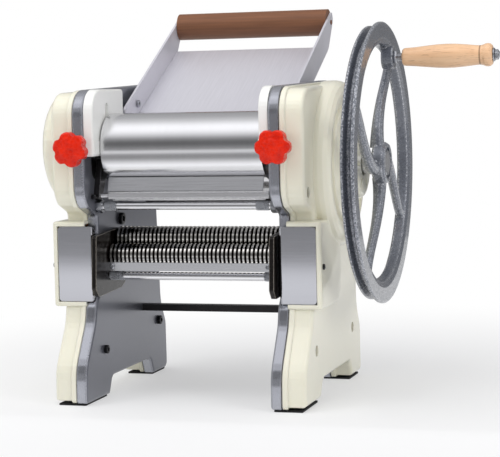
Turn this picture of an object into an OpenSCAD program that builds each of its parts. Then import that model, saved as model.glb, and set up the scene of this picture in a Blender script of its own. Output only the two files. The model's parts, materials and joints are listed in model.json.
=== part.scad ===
// Manual pasta machine with a flywheel
// Millimetres. X runs along the rollers with the flywheel on +X, Y runs to the back, Z is up.
// Inside this file the modules use machine coordinates: X from the plane midway between the
// side frames, Y from the front of the frames and Z from the table. placed() moves every
// piece so that the origin is at the bottom centre of the object's box.

/* [Frames] */
// Thickness of a side frame at its rim
frame_t = 11; // [9:0.5:14]
// Thickness of a frame's web behind the rim
web_t = 4; // [3:0.5:7]
// Width of the rim round a frame's web
rim_w = 8; // [5:1:11]
// Height of the frames at their front edge
frame_h = 321; // [315:1:390]
// How much higher the frames are at the back of their top
top_rise = 6; // [0:1:14]
// Depth of the frames behind their front edge
frame_d = 240; // [225:1:300]
// How far the front toes reach past the front edge
toe_out = 9; // [4:1:14]
// How far the top's back end lies in front of the rear toe
top_inset = 32; // [24:1:40]
// How far the waist lies in front of the rear toe
waist_inset = 16; // [10:1:25]
// How far the front foot reaches back
front_foot_d = 57; // [45:1:70]
// Depth of the rear foot
rear_foot_d = 47; // [35:1:60]
// Height of the arch between the feet
arch_h = 20; // [14:1:26]
// How far the recess for the panels lies behind the front
recess_d = 35; // [30:1:38]
// Lower end of the recess
recess_low = 113; // [112:1:118]
// Upper end of the recess
recess_high = 192; // [186:1:196]
// Height at which the front edge is back at its full reach
shoulder_z = 214; // [210:1:220]
// Thickness of the rubber pads under the feet
pad_t = 2; // [1:0.5:4]

/* [Rollers] */
// Diameter of the two smooth rollers
roller_d = 70; // [58:1:84]
// Length of the smooth rollers
roller_l = 170; // [136:2:216]
// Gap between the smooth rollers at rest
roller_gap = 2; // [1.8:0.1:3]
// How far the front roller can move each way to set its gap
gap_travel = 1.5; // [0.5:0.1:1.5]
// Slope of the line through both roller axes
nip_slope = 17.8; // [10:0.1:20]
// Distance of the drive axis from the front
drive_y = 120; // [115:1:130]
// Height of the drive axis over the table
drive_z = 240; // [230:1:250]
// Diameter of the rear roller's journals
drive_journal_d = 30; // [24:1:32]
// Diameter of the front roller's journals
front_journal_d = 24; // [18:1:26]
// Diameter of the drive shaft outside the frames
shaft_d = 20; // [16:1:22]
// Wall of the bushes
bush_t = 4; // [2.5:0.5:5]

/* [Gears] */
// Teeth of each roller gear
roller_teeth = 20; // [18:1:22]
// Teeth of the gear that drives the cutter train
cutter_drive_teeth = 48; // [46:1:50]
// Teeth of the idler gear
idler_teeth = 28; // [28:1:32]
// Teeth of each cutter gear
cutter_teeth = 16; // [16:1:18]
// Width of the roller gears
roller_gear_w = 14; // [10:1:16]
// Width of the gears in the cutter train
train_w = 8; // [6:0.5:9]

/* [Cutter] */
// Distance between the axes of the cutter rolls
cutter_pitch = 23.3; // [22.9:0.1:23.8]
// How far the ridges of one cutter roll reach into the other
ridge_lap = 1.7; // [1:0.1:1.9]
// Depth of the grooves between the ridges
groove_depth = 2.3; // [2.1:0.1:3]
// Number of ridges on a cutter roll
ridges = 40; // [30:2:44]
// Width of one ridge
ridge_w = 2; // [1.4:0.1:2.1]
// Distance of the front cutter roll from the front
cutter_y = 60; // [56:1:64]
// Height of the front cutter roll over the table
cutter_z = 149; // [146:1:152]
// Thickness of the plates that carry the cutter
cutter_plate_t = 5; // [4:0.5:7]
// Diameter of the cutter rolls' journals
cutter_journal_d = 13; // [10:0.5:14]

/* [Covers] */
// How far the covers stand out from the frames
cover_w = 25; // [23:1:30]
// Width of the bezel beside a front panel
bezel_w = 5; // [3:0.5:8]
// Wall of the covers
cover_wall = 3; // [2:0.25:4]
// Radius of the covers' outer edges
cover_r = 4; // [3:0.5:8]
// Radius of the right cover's dome
dome_r = 86; // [78:1:88]
// How far the dome's centre stands out from the right frame
dome_w = 58; // [52:1:60]
// Width of a front panel
panel_w = 38.5; // [34:0.5:40]
// Height of a front panel
panel_h = 77.6; // [70:0.2:80]
// Thickness of a front panel
panel_t = 2; // [1.5:0.5:3]
// Thickness of the guards beside the rollers
guard_t = 10; // [8:0.5:11]
// Gap between the guards and the rollers' ends
end_gap = 2; // [1.5:0.5:4]

/* [Flywheel] */
// Diameter of the flywheel
wheel_d = 290; // [240:1:350]
// Gap between the dome and the flywheel
wheel_clear = 8; // [4:1:20]
// Width of the flywheel's rim
rim_x = 15; // [12:1:20]
// Height of the rim from its inner to its outer edge
rim_h = 23; // [18:1:30]
// Depth of the belt groove in the rim
groove_h = 11; // [8:0.5:14]
// Thickness of the spokes at their middle
spoke_d = 9.5; // [8:0.5:12]
// Number of spokes
spokes = 4; // [3:1:6]
// How far a spoke sweeps round between hub and rim
spoke_sweep = 45; // [0:1:60]
// Diameter of the hub
hub_d = 43; // [38:1:56]
// Distance of the crank bolt from the drive axis
crank_r = 114; // [90:1:116]
// Length of the wooden grip
grip_l = 94; // [80:1:120]
// Largest diameter of the wooden grip
grip_d = 25; // [20:1:32]

/* [Knobs] */
// Diameter of the star knobs
knob_d = 36; // [30:1:40]
// Depth of the star knobs
knob_h = 14; // [10:1:18]
// Number of lobes on a knob
knob_lobes = 6; // [5:1:8]
// Diameter of the adjusting screws
screw_d = 12; // [10:1:13]

/* [Chute] */
// Gap between the chute's side rails and the frames
chute_gap = 5.5; // [5:0.5:12]
// Thickness of the side rails
rail_t = 2.5; // [1.5:0.5:3]
// Length of the rails past their pivot
chute_l = 186; // [150:1:230]
// Slope of the chute at rest
chute_slope = 27.3; // [22:0.1:32]
// Diameter of the wooden rod at its end
wood_d = 30; // [20:1:32]

/* [Fits] */
// Radial play of a shaft in its bush
play = 0.05; // [0.03:0.01:0.1]
// Gap between pieces that move past each other
clear = 0.4; // [0.3:0.05:0.6]

/* [Hidden] */
$fn = 64;

// Places along X
frame_in = roller_l / 2 + end_gap + guard_t;
frame_out = frame_in + frame_t;
roller_end = roller_l / 2;
cover_out = frame_out + cover_w;
wheel_in = frame_out + dome_w + wheel_clear;
wheel_out = wheel_in + rim_x;
wheel_mid = (wheel_in + wheel_out) / 2;
train_in = frame_out + 4;
roller_gear_in = train_in + train_w + 5;
bulge_w = roller_gear_in + roller_gear_w + 4 + cover_wall - frame_out;

// The roller pair, seen from the side as [y, z]
wheel_r = wheel_d / 2;
roller_r = roller_d / 2;
drive_axis = [drive_y, drive_z];
nip_way = [-cos(nip_slope), sin(nip_slope)];
front_axis = drive_axis + (roller_d + roller_gap) * nip_way;

// The cutter rolls and the gear train that turns them
ridge_d = cutter_pitch + ridge_lap;
groove_d = ridge_d - 2 * groove_depth;
cutter_axis = [cutter_y, cutter_z];
cutter_way = [cos(44.5), sin(44.5)];
rear_cutter_axis = cutter_axis + cutter_pitch * cutter_way;
roller_module = roller_d / roller_teeth;
train_module = cutter_pitch / cutter_teeth;
pressure = 20;
idler_axis = meet(drive_axis, mesh_d(cutter_drive_teeth, idler_teeth),
  rear_cutter_axis, mesh_d(idler_teeth, cutter_teeth));

// Bearing blocks of the front roller
block_half = 28.5;
block_low = 33;
block_high = 22;
block_low_r = 13;
block_back = 1.5;
block_lip = 4;
block_out = frame_out + 6;
flange_r = 20;
flange_t = 6;
screw_x = frame_in + 9;
pin_d = 8;
pin_l = 8;
scraper_axis = front_axis + (roller_r + 18.7) * dir(245.3);
scraper_size = [5, 7.7];
scraper_pin_r = 2.5;
lug_wall = 2;

// Tie rods as [y, z]
tie_axis = front_axis + (roller_r + 27.5) * dir(253.8);
tie_r = 4;
nut_af = 13;
nut_h = 6.5;
tie_bush_l = 14;
rest_y = frame_d - top_inset - 16;
rest_r = 6;
tie_bar_at = [167, 80.5];
tie_bar_size = [10, 7.5];
rear_scraper_axis = drive_axis + (roller_r + 15.1) * dir(298.6);
rear_scraper_r = 3;

// Cutter plate, rods and combs
plate_outline = concat(
  rounded_corners(cutter_axis, [[-48, -31], [-40, -40]], 4),
  rounded_corners(rear_cutter_axis, [[8.9, -53.3], [21.4, -48.3], [10.4, 10.7]], 4),
  rounded_corners(cutter_axis, [[-44, 23]], 4)
);
lower_rod_axis = cutter_axis + [-7, -21];
cutter_rod_axis = rear_cutter_axis + [7.4, -41.3];
rod_r = 4;
rod_bush_l = 16;
comb_t = 1.5;

// Chute, whose outline is [u, v] along and across its slope from the pivot
pivot = [frame_d - top_inset - 68, frame_h - 15];
pivot_r = 2.5;
idler_pin_r = 4;
rail_edge = 15.5;
rail_low = 14;
floor_t = 1.5;
floor_low = rail_low - 1;
rail_outline = [
  [-24, -rail_low, 8], [chute_l - 36, -rail_low, 25], [chute_l, rail_edge - 10.3, 5],
  [chute_l, rail_edge, 3], [-38, rail_edge - 2.5, 6], [-36, -rail_low + 6, 8]
];
wood_at = [chute_l - 11, rail_edge - 8.1];
wood_pin_r = 2.5;
rail_out = frame_in - chute_gap;
rail_in = rail_out - rail_t;
rail_points = [for (p = rounded(rail_outline)) on_chute(p)];
rest_z = under_rail(rest_y) - (rest_r + 0.3) / cos(rail_low_slope());

// Flywheel and crank
crank_angle = 72.7;
crank_axis = drive_axis + crank_r * [cos(crank_angle), sin(crank_angle)];
spoke_end_angle = 60;
crank_boss_r = 12;
bolt_r = 4;
hub_in = wheel_in + 4;
hub_out = wheel_out + 3;
hub_recess_d = 4;
grip_in = wheel_out + 13 + clear;
grip_out = grip_in + grip_l;
cap_out = grip_out + clear + 7;
shaft_out = hub_out - 0.5;

// Front panels and the housings round them
panel_in = frame_in + 2.5;
panel_out = panel_in + panel_w;
panel_z = recess_high - 49.6;
panel_front = recess_d - 11.2;
housing_front = panel_front - 0.8;
housing_out = panel_out + clear + bezel_w;
housing_low = panel_z - panel_h / 2 - clear - bezel_w;
housing_high = panel_z + panel_h / 2 + clear + bezel_w;
panel_screw_at = [housing_front + 7, panel_z - 1.4];
panel_screw_r = 3;

// Outline of a side frame as [y, z, corner radius], from the front toe round to the back
frame_outline = [
  [-toe_out, pad_t, 4],
  [front_foot_d, pad_t, 3],
  [front_foot_d + 9, arch_h, 9],
  [frame_d - rear_foot_d - 9, arch_h, 9],
  [frame_d - rear_foot_d, pad_t, 3],
  [frame_d, pad_t, 8],
  [frame_d - 1, 56, 14],
  [frame_d - waist_inset, 80, 40],
  [frame_d - top_inset, frame_h + top_rise, 10],
  [0, frame_h, 27],
  [0, shoulder_z, 25],
  [11, shoulder_z - 12.5, 10],
  [recess_d, recess_high, 4],
  [recess_d, recess_low, 6],
  [24, 98, 5],
  [20.5, 82, 30],
  [0.5 - toe_out, 38, 40]
];

// Bottom centre of the object's box
box_min = [-frame_out - bulge_w, drive_y - wheel_r];
box_max = [cap_out, max(max([for (p = rail_points) p[0]]), on_chute(wood_at)[0] + wood_d / 2)];
box_mid = (box_min + box_max) / 2;

// Helpers

function unit(v) = v / norm(v);

// Arc of radius r that rounds corner b of the path a, b, c
function corner(a, b, c, r) =
  let (
    u = unit(a - b),
    v = unit(c - b),
    half = acos(max(-1, min(1, u * v))) / 2,
    centre = b + unit(u + v) * r / sin(half),
    start = b + u * r / tan(half) - centre,
    end = b + v * r / tan(half) - centre,
    a0 = atan2(start[1], start[0]),
    turn = (atan2(end[1], end[0]) - a0 + 900) % 360 - 180,
    steps = max(1, ceil(abs(turn) / 11))
  )
  [for (k = [0:steps]) centre + r * [cos(a0 + turn * k / steps), sin(a0 + turn * k / steps)]];

// Outline with each corner [y, z, r] rounded by its own radius
function rounded(path) =
  let (n = len(path))
  [for (i = [0:n - 1]) each corner(xy(path[(i + n - 1) % n]), xy(path[i]),
    xy(path[(i + 1) % n]), path[i][2])];

function xy(p) = [p[0], p[1]];

// Corners of a path given from an axis, all rounded by r
function rounded_corners(axis, corners, r) = [for (c = corners) [axis[0] + c[0], axis[1] + c[1], r]];

// Sign of the turn at corner i of a path: 1 where it bulges out, -1 where it bends in
function bulge(path, i) =
  let (
    n = len(path),
    u = xy(path[i]) - xy(path[(i + n - 1) % n]),
    v = xy(path[(i + 1) % n]) - xy(path[i])
  )
  sign(u[0] * v[1] - u[1] * v[0]);

// Path whose sides are moved inwards by d, with radii that follow
function inset(path, d) =
  let (n = len(path))
  [for (i = [0:n - 1])
    let (
      b = xy(path[i]),
      u = unit(xy(path[(i + n - 1) % n]) - b),
      v = unit(xy(path[(i + 1) % n]) - b),
      half = acos(max(-1, min(1, u * v))) / 2,
      s = bulge(path, i),
      p = b + s * unit(u + v) * d / sin(half)
    )
    [p[0], p[1], max(0.1, path[i][2] - s * d)]];

// Outline of a belt round two circles
function belt(c1, r1, c2, r2, n = 16) =
  let (
    way = c2 - c1,
    dir = atan2(way[1], way[0]),
    a = acos((r1 - r2) / norm(way))
  )
  concat(
    [for (k = [0:n]) let (t = dir - a + 2 * a * k / n) c2 + r2 * [cos(t), sin(t)]],
    [for (k = [0:n]) let (t = dir + a + (360 - 2 * a) * k / n) c1 + r1 * [cos(t), sin(t)]]
  );

// Point where circles round a and b meet, on the side towards the front
function meet(a, ra, b, rb) =
  let (
    way = b - a,
    d = norm(way),
    along = (ra * ra - rb * rb + d * d) / (2 * d),
    off = sqrt(ra * ra - along * along)
  )
  a + along * way / d + off * [way[1], -way[0]] / d;

function mesh_d(n1, n2) = (n1 + n2) * train_module / 2;

// Machine [y, z] of a point [u, v] of the chute
function on_chute(p) =
  pivot + [p[0] * cos(chute_slope) - p[1] * sin(chute_slope),
    p[0] * sin(chute_slope) + p[1] * cos(chute_slope)];

// Slope of the rails' straight lower edge
function rail_low_slope() =
  let (d = on_chute(rail_outline[1]) - on_chute(rail_outline[0]))
  atan2(d[1], d[0]);

// Height of that edge at a place along Y
function under_rail(y) =
  let (a = on_chute(rail_outline[0]))
  a[1] + (y - a[0]) * tan(rail_low_slope());

// Involute gear tooth: angle between its middle line and its flank at radius r
function inv_deg(rb, r) = r <= rb ? 0 : let (a = acos(rb / r)) tan(a) * 180 / PI - a;
function half_angle(rp, thick, r) =
  let (rb = rp * cos(pressure))
  thick / (2 * rp) * 180 / PI + inv_deg(rb, rp) - inv_deg(rb, r);

// Gear outline with n teeth of module m, one tooth centred on the angle phase
function gear_points(n, m, phase, thin, addendum) =
  let (
    rp = n * m / 2,
    thick = PI * m / 2 - thin,
    root = rp - 1.25 * m,
    base = max(root + 0.05 * m, rp * cos(pressure)),
    tip = rp + addendum * m,
    radii = [root, base, (base + rp) / 2, rp, (rp + tip) / 2, tip]
  )
  [for (i = [0:n - 1]) let (mid = phase + 360 * i / n) each concat(
    [for (r = radii) r * dir(mid - half_angle(rp, thick, r))],
    [for (k = [len(radii) - 1:-1:0]) radii[k] * dir(mid + half_angle(rp, thick, radii[k]))]
  )];

function dir(a) = [cos(a), sin(a)];

// Phase of gear b with nb teeth that meshes with gear a of na teeth and phase pa
function mesh_phase(ca, na, pa, cb, nb) =
  let (way = cb - ca, t = atan2(way[1], way[0]))
  t + 180 + 180 / nb - (pa - t) * na / nb;

module placed() translate([-box_mid[0], -box_mid[1], 0]) children();

// Extrudes an outline drawn as (y, z) from x0 to x1
module slab(x0, x1) translate([x0, 0, 0]) rotate([90, 0, 90]) linear_extrude(x1 - x0) children();

// Round bar along X through p = [y, z]
module bar(p, r, x0, x1) translate([x0, p[0], p[1]]) rotate([0, 90, 0]) cylinder(r = r, h = x1 - x0);

// Turned shape along X through p, whose outline is (radius, x)
module turned(p) translate([0, p[0], p[1]]) rotate([90, 0, 90]) rotate_extrude() children();

// Both sides of the machine
module pair() {
  children();
  mirror([1, 0, 0]) children();
}

module at(p) translate(p) children();

// Solid through outlines that all have the same number of points, each at its own x.
// Each end is a fan round the point eye, from which its whole outline can be seen.
module loft(rings, xs, eye) {
  n = len(rings[0]);
  last = len(xs) - 1;
  points = concat(
    [for (k = [0:last]) for (p = rings[k]) [xs[k], p[0], p[1]]],
    [[xs[0], eye[0], eye[1]], [xs[last], eye[0], eye[1]]]
  );
  sides = [for (k = [0:last - 1]) for (i = [0:n - 1])
    let (j = (i + 1) % n) [k * n + i, (k + 1) * n + i, (k + 1) * n + j, k * n + j]];
  ends = [for (i = [0:n - 1])
    let (j = (i + 1) % n, top = last * n)
    each [[i, j, (last + 1) * n], [top + j, top + i, (last + 1) * n + 1]]];
  polyhedron(points, concat(sides, ends));
}

// Solid round an outline, whose steps are [x, how far the outline is set in]
module shell(path, steps, eye)
  loft([for (s = steps) rounded(inset(path, s[1]))], [for (s = steps) s[0]], eye);

// Steps of an edge at x1 that is rounded by r, set in by d before it
function round_steps(x1, r, d = 0) =
  [for (k = [0:edge_steps])
    [x1 - r + r * sin(90 * k / edge_steps), d + r * (1 - cos(90 * k / edge_steps))]];

edge_steps = 4;

// Tube of round section along a path in a plane of constant x
module sweep(path, radii, x, sides = 12) {
  last = len(path) - 1;
  rings = [for (i = [0:last])
    let (
      t = unit(path[min(i + 1, last)] - path[max(i - 1, 0)]),
      n = [-t[1], t[0]]
    )
    [for (s = [0:sides - 1])
      let (a = 360 * s / sides, q = path[i] + radii[i] * cos(a) * n)
      [x + radii[i] * sin(a), q[0], q[1]]]];
  points = [for (r = rings) each r];
  walls = [for (i = [0:last - 1]) for (s = [0:sides - 1])
    let (t = (s + 1) % sides)
    [i * sides + s, (i + 1) * sides + s, (i + 1) * sides + t, i * sides + t]];
  ends = [[for (s = [0:sides - 1]) s], [for (s = [sides - 1:-1:0]) last * sides + s]];
  polyhedron(points, concat(walls, ends));
}

// Frames

// Outline round a bearing block, widened by dy to both sides and by dz up and down
function block_path(dy, dz) =
  let (y = front_axis[0], z = front_axis[1], wide = block_half + dy)
  [
    [y - wide, z - block_low - dz, block_low_r], [y + wide, z - block_low - dz, block_low_r],
    [y + wide, z + block_high + dz, 2], [y - wide, z + block_high + dz, 2]
  ];

// Full thickness round the bearings and rods, as an outline
module frame_bosses() {
  polygon(rounded(block_path(12, 12)));
  translate(drive_axis) circle(r = drive_journal_d / 2 + bush_t + 8);
  for (p = [tie_axis, [rest_y, rest_z], rear_scraper_axis, tie_bar_at, pivot, idler_axis])
    translate(p) circle(r = 11);
  for (p = frame_bolt_places)
    translate(p) circle(r = 8);
  translate((cutter_axis + rear_cutter_axis) / 2) square([62, 56], center = true);
  for (foot = [[frame_d - 40, 40], [30, 40]])
    hull() {
      translate(drive_axis) circle(r = 5);
      translate(foot) circle(r = 5);
    }
}

// Bolts in the frames as [y, z] with the radius of their round heads
frame_bolt_places = [[100, 184], [45, 51], [frame_d - 28, 60], scraper_axis + [-9.4, -0.9]];
frame_bolt_heads = [6.5, 4.5, 5, 2.6];
frame_bolt_r = 2;

frame_edge_r = 2.5;
frame_eye = [0.52 * frame_d, recess_high + 8];
screw_boss_y = 4.5;

module frame() {
  window_y = front_axis[0] - block_half - gap_travel - clear;
  difference() {
    union() {
      difference() {
        shell(frame_outline, [
          [frame_in, frame_edge_r], [frame_in + 0.3 * frame_edge_r, 0.3 * frame_edge_r],
          [frame_in + frame_edge_r, 0], [frame_out, 0]
        ], frame_eye);
        slab(frame_in + web_t, frame_out + 1) difference() {
          polygon(rounded(inset(frame_outline, rim_w)));
          frame_bosses();
        }
      }
      intersection() {
        at([screw_x, screw_boss_y, front_axis[1]]) rotate([-90, 0, 0])
          cylinder(r = screw_d / 2 + 4, h = window_y - screw_boss_y);
        slab(frame_in + frame_edge_r, frame_out + 20) translate([0, front_axis[1] - 20])
          square([60, 40]);
      }
    }
    slab(frame_in - 1, frame_out + 20) polygon(rounded(block_path(gap_travel + clear, clear)));
    at([screw_x, -1, front_axis[1]]) rotate([-90, 0, 0]) cylinder(r = screw_d / 2 + 0.3, h = 40);
    bar(drive_axis, drive_journal_d / 2 + bush_t, frame_in - 1, frame_out + 1);
    bar(tie_axis, tie_r, frame_in - 1, frame_out + 1);
    bar([rest_y, rest_z], rest_r, frame_in - 1, frame_out + 1);
    bar(rear_scraper_axis, rear_scraper_r, frame_in - 1, frame_out + 1);
    bar(pivot, pivot_r, frame_in - 1, frame_out + 1);
    for (p = frame_bolt_places)
      bar(p, frame_bolt_r, frame_in - 1, frame_out + 1);
  }
}

module left_frame() placed() color("#a7aaad") mirror([1, 0, 0]) difference() {
  frame();
  for (p = [cutter_axis, rear_cutter_axis])
    bar(p, cutter_journal_d / 2 + 1, frame_in - 1, frame_out + 1);
  bar(idler_axis, idler_pin_r, frame_in - 1, frame_out + 1);
}

module right_frame() placed() color("#a7aaad") frame();

pad_inset = 3;

module rubber_feet() placed() color("#1c1c1e") pair() slab(frame_in + pad_inset, cover_out - cover_r)
  for (foot = [[-toe_out, front_foot_d], [frame_d - rear_foot_d, frame_d]])
    polygon(rounded([
      [foot[0] + pad_inset, 0, 0.4], [foot[1] - pad_inset, 0, 0.4],
      [foot[1] - pad_inset, pad_t, 0.4], [foot[0] + pad_inset, pad_t, 0.4]
    ]));

// Covers

cover_play = 0.3;
seam_w = 1;
lip_w = 5.5;
lip_h = 2;
cover_path = inset(frame_outline, 0.6);

// Steps of a cover: the seam at the frame, the lip and the body with its rounded edge
cover_steps = concat(
  [
    [frame_out, lip_h], [frame_out + seam_w, lip_h], [frame_out + seam_w, 0.4],
    [frame_out + seam_w + 0.4, 0], [frame_out + seam_w + lip_w - 0.8, 0],
    [frame_out + seam_w + lip_w, 0.8], [frame_out + seam_w + lip_w, lip_h]
  ],
  round_steps(cover_out, cover_r, lip_h)
);

housing_back = recess_d + 71;
housing_path = [
  [housing_front, housing_low, 3], [housing_back, housing_low, 22],
  [housing_back, housing_high, 22], [housing_front, housing_high, 3]
];
housing_edge_r = 3;

// Hollow of a cover, open towards its frame
module cover_hollow() {
  slab(frame_out - 1, cover_out - cover_wall)
    polygon(rounded(inset(cover_path, lip_h + cover_wall)));
  slab(frame_out - 1, housing_out - cover_wall)
    polygon(rounded(inset(housing_path, cover_wall)));
}

// Opening in the front that the panel fills, and the seam behind the bezel
module panel_opening() {
  at([frame_out - 1, housing_front - 1, panel_z - panel_h / 2 - clear])
    cube([panel_out + clear - frame_out + 1, cover_wall + 2, panel_h + 2 * clear]);
  at([housing_out - 0.8, housing_front + cover_wall, panel_z - panel_h / 2])
    cube([2, 0.8, panel_h]);
  bar(panel_screw_at, panel_screw_r / 2, housing_out - 8, housing_out + 1);
}

cover_screw_places = [[39, 55], [frame_d - 43, 58], [17, shoulder_z + 2]];
cover_screw_r = 4;
counterbore_r = cover_screw_r + 1.5;
counterbore_d = 10;

module cover_body() {
  shell(cover_path, cover_steps, frame_eye);
  shell(housing_path, concat([[frame_out, 0]], round_steps(housing_out, housing_edge_r)),
    [recess_d + 30, panel_z]);
}

module cover_cuts() {
  panel_opening();
  at([screw_x, -1, front_axis[1]]) rotate([-90, 0, 0]) cylinder(r = 12, h = 8);
  for (p = cover_screw_places)
    bar(p, counterbore_r, cover_out - counterbore_d, cover_out + 1);
}

// Bosses inside the cover that carry its screws
module cover_screw_bosses() difference() {
  slab(frame_out + cover_play, cover_out - cover_wall / 2) intersection() {
    polygon(rounded(inset(cover_path, lip_h + cover_wall / 2)));
    for (p = cover_screw_places)
      translate(p) circle(r = counterbore_r + 2);
  }
  for (p = cover_screw_places) {
    bar(p, counterbore_r, cover_out - counterbore_d, cover_out + 1);
    bar(p, cover_screw_r / 2, frame_out - 1, cover_out);
  }
}

bulge_r = roller_r + roller_module + 16 + cover_wall;
bulge_edge_r = 10;
bulge_front = [bulge_r + 3, front_axis[1]];

// Outline of the bulge, set in by d
function bulge_belt(d) = belt(bulge_front, bulge_r - d, drive_axis, bulge_r - d);

module bulge_hollow(x1, d) slab(frame_out + 7, x1) polygon(bulge_belt(d));

module left_cover() placed() color("#e4d7a6") mirror([1, 0, 0]) {
  difference() {
    union() {
      cover_body();
      loft(concat([bulge_belt(0)], [for (s = bulge_steps) bulge_belt(s[1])]),
        concat([cover_out - cover_wall - 1], [for (s = bulge_steps) s[0]]),
        (bulge_front + drive_axis) / 2);
    }
    cover_hollow();
    bulge_hollow(frame_out + bulge_w - bulge_edge_r, cover_wall);
    bulge_hollow(frame_out + bulge_w - cover_wall, bulge_edge_r - 2);
    cover_cuts();
  }
  cover_screw_bosses();
}

bulge_steps = round_steps(frame_out + bulge_w, bulge_edge_r);

// Section of the right dome as (radius, distance out from the frame)
dome_section = [
  [0, cover_w - 6], [dome_r, cover_w - 6], [dome_r, cover_w + 5], [dome_r - 1, cover_w + 10],
  [dome_r - 4, cover_w + 14], [dome_r - 9, cover_w + 16.5], [dome_r - 13, cover_w + 17],
  [dome_r - 14, cover_w + 13], [dome_r - 24, cover_w + 13], [dome_r - 25, cover_w + 17],
  [dome_r - 30, cover_w + 18], [dome_r - 46, cover_w + 20], [dome_r - 50, dome_w - 4],
  [dome_r - 52, dome_w - 1], [dome_r - 55, dome_w], [0, dome_w]
];

module right_cover() placed() color("#e4d7a6") {
  difference() {
    union() {
      cover_body();
      turned(drive_axis) translate([0, frame_out]) polygon(dome_section);
    }
    cover_hollow();
    turned(drive_axis) translate([0, frame_out]) polygon([
      [0, 0], [dome_r - cover_wall, cover_w - 7], [dome_r - cover_wall, cover_w + 5],
      [dome_r - 16, cover_w + 9.5], [dome_r - 50, cover_w + 10],
      [dome_r - 54, dome_w - cover_wall], [0, dome_w - cover_wall]
    ]);
    bar(drive_axis, shaft_d / 2 + 3, frame_out, frame_out + dome_w + 1);
    for (a = [0:60:300])
      translate([frame_out + dome_w - 2, drive_y, drive_z]) rotate([a, 0, 0])
        translate([0, 17, -2]) cube([3, 11, 4]);
    cover_cuts();
  }
  cover_screw_bosses();
}

panel_bend_r = 3;
panel_back = recess_d - cover_play;

// Bent plate with a flange that goes back to the recess of the frame
module front_panel() {
  low = panel_z - panel_h / 2;
  intersection() {
    at([0, 0, low]) linear_extrude(panel_h) difference() {
      polygon(rounded([
        [panel_in, panel_front, panel_bend_r], [panel_out, panel_front, 0.5],
        [panel_out, panel_back, 0.1], [panel_in, panel_back, 0.1]
      ]));
      polygon(rounded([
        [panel_in + panel_t, panel_front + panel_t, panel_bend_r - panel_t],
        [panel_out + 1, panel_front + panel_t, 0.1], [panel_out + 1, panel_back + 1, 0.1],
        [panel_in + panel_t, panel_back + 1, 0.1]
      ]));
    }
    union() {
      at([0, panel_front + panel_t + 1.5, low]) rotate([90, 0, 0])
        linear_extrude(panel_t + 3) polygon(rounded([
          [panel_in, 0, 3], [panel_out, 0, 4], [panel_out, panel_h, 4], [panel_in, panel_h, 3]
        ]));
      at([panel_in - 1, panel_front + panel_t, recess_low + 4])
        cube([panel_t + 2, recess_d, panel_z + panel_h / 2 - recess_low - 8]);
    }
  }
}

module left_front_panel() placed() color("#8f9396") mirror([1, 0, 0]) front_panel();
module right_front_panel() placed() color("#8f9396") front_panel();

module panel_screws() placed() color("#202022") pair() {
  bar(panel_screw_at, panel_screw_r, housing_out, housing_out + 1.8);
  bar(panel_screw_at, panel_screw_r / 2, housing_out - 6, housing_out + 1);
}

module cover_screws() placed() color("#202022") pair() for (p = cover_screw_places) {
  bar(p, cover_screw_r, cover_out - counterbore_d, cover_out - counterbore_d + 4);
  bar(p, cover_screw_r / 2, frame_out + 1, cover_out - counterbore_d + 1);
}

guard_outline = [[2, 254, 3], [92, 254, 4], [92, frame_h + 1, 4], [2, frame_h + 1, 24]];
guard_screw_at = [43, frame_h - 22];
guard_edge_r = 2;
guard_cut = flange_r + gap_travel + 2;

module guard() difference() {
  union() {
    shell(guard_outline, [
      [frame_in - guard_t, guard_edge_r],
      [frame_in - guard_t + 0.3 * guard_edge_r, 0.3 * guard_edge_r],
      [frame_in - guard_t + guard_edge_r, 0], [frame_in, 0]
    ], [47, 290]);
    slab(frame_in - guard_t - 0.8, frame_in - guard_t + 1)
      polygon(rounded(inset([[2, 254, 3], [92, 254, 4], [92, 272, 1], [2, 272, 1]], guard_edge_r)));
  }
  bar(front_axis, guard_cut, frame_in - guard_t - 1, frame_in + 1);
  slab(frame_in - guard_t - 1, frame_in + 1) translate([front_axis[0] - guard_cut, 240])
    square([2 * guard_cut, front_axis[1] - 240]);
  hull() for (dz = [-5, 5])
    bar(guard_screw_at + [0, dz], 4, frame_in - guard_t - 1, frame_in - guard_t + 4);
}

module left_guard() placed() color("#efefec") mirror([1, 0, 0]) guard();
module right_guard() placed() color("#efefec") guard();

// Rollers and their bearings

module rear_roller() placed() color("#c9ccd0") {
  difference() {
    union() {
      bar(drive_axis, roller_r, -roller_end, roller_end);
      bar(drive_axis, drive_journal_d / 2, -frame_out - 2, frame_out + 2);
      bar(drive_axis, shaft_d / 2, -roller_gear_in - roller_gear_w - 2, shaft_out);
    }
    pair() turned(drive_axis) translate([drive_journal_d / 2 + 4, roller_end - 2])
      square([roller_r - drive_journal_d / 2 - 10, 3]);
  }
}

module front_roller() placed() color("#c9ccd0") {
  difference() {
    union() {
      bar(front_axis, roller_r, -roller_end, roller_end);
      bar(front_axis, front_journal_d / 2, -block_out - 1, block_out + 1);
      bar(front_axis, shaft_d / 2 - 1, -roller_gear_in - roller_gear_w - 2, 0);
    }
    pair() turned(front_axis) translate([front_journal_d / 2 + 4, roller_end - 2])
      square([roller_r - front_journal_d / 2 - 10, 3]);
  }
}

module bush(p, r, t, x0, x1) difference() {
  bar(p, r + t, x0, x1);
  bar(p, r + play, x0 - 1, x1 + 1);
}

module drive_bushes() placed() color("#b08d4c") pair()
  bush(drive_axis, drive_journal_d / 2, bush_t, frame_in - 1, frame_out + 1);

module front_roller_bushes() placed() color("#b08d4c") pair()
  bush(front_axis, front_journal_d / 2, bush_t - 1, frame_in - flange_t - 1, block_out);

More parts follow.
